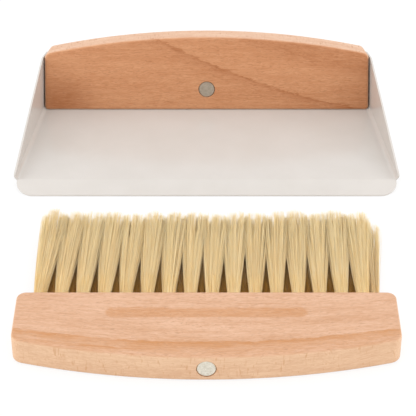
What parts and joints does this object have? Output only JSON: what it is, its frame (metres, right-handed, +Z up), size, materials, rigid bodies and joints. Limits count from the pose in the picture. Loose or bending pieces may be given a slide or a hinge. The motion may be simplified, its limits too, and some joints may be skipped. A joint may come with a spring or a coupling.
{
  "type": "dust pan and brush set",
  "caption": "Powder-coated steel dust pan with an arched wooden handle bar, and a flat wooden hand brush with pale bristles that docks in it by magnets.",
  "frame": {"origin": "centre of the set's footprint, on the surface it stands on, with the brush laid in front of the pan", "axes": "+X across the pan, +Y from the brush towards the back of the pan, +Z up"},
  "size_m": [0.28, 0.343, 0.0586],
  "materials": {
    "tray": "fine powder coat, warm white, low sheen",
    "bar_wood": "beech, fine sanded, thin clear oil",
    "block_wood": "beech, fine sanded, thin clear oil",
    "magnet": "satin nickel plate",
    "screw": "satin steel",
    "wire": "drawn steel wire",
    "bristle": "natural bristle, pale straw"
  },
  "bodies": {
    "pan": {"pan_tray": "tray", "handle_bar": "bar_wood", "pan_magnet": "magnet", "side_screws": "screw", "back_screws": "screw"},
    "brush": {"brush_block": "block_wood", "brush_magnet": "magnet", "anchor_wires": "wire", "tuft_upper_01": "bristle", "tuft_upper_02": "bristle", "tuft_upper_03": "bristle", "tuft_upper_04": "bristle", "tuft_upper_05": "bristle", "tuft_upper_06": "bristle", "tuft_upper_07": "bristle", "tuft_upper_08": "bristle", "tuft_upper_09": "bristle", "tuft_upper_10": "bristle", "tuft_upper_11": "bristle", "tuft_upper_12": "bristle", "tuft_upper_13": "bristle", "tuft_upper_14": "bristle", "tuft_upper_15": "bristle", "tuft_upper_16": "bristle", "tuft_lower_01": "bristle", "tuft_lower_02": "bristle", "tuft_lower_03": "bristle", "tuft_lower_04": "bristle", "tuft_lower_05": "bristle", "tuft_lower_06": "bristle", "tuft_lower_07": "bristle", "tuft_lower_08": "bristle", "tuft_lower_09": "bristle", "tuft_lower_10": "bristle", "tuft_lower_11": "bristle", "tuft_lower_12": "bristle", "tuft_lower_13": "bristle", "tuft_lower_14": "bristle", "tuft_lower_15": "bristle", "tuft_lower_16": "bristle"}
  },
  "joints": [
    {"name": "brush_lift", "type": "slide", "parent": "pan", "child": "brush", "axis": [0, 0, 1], "range_m": [0, 0.15]}
  ]
}
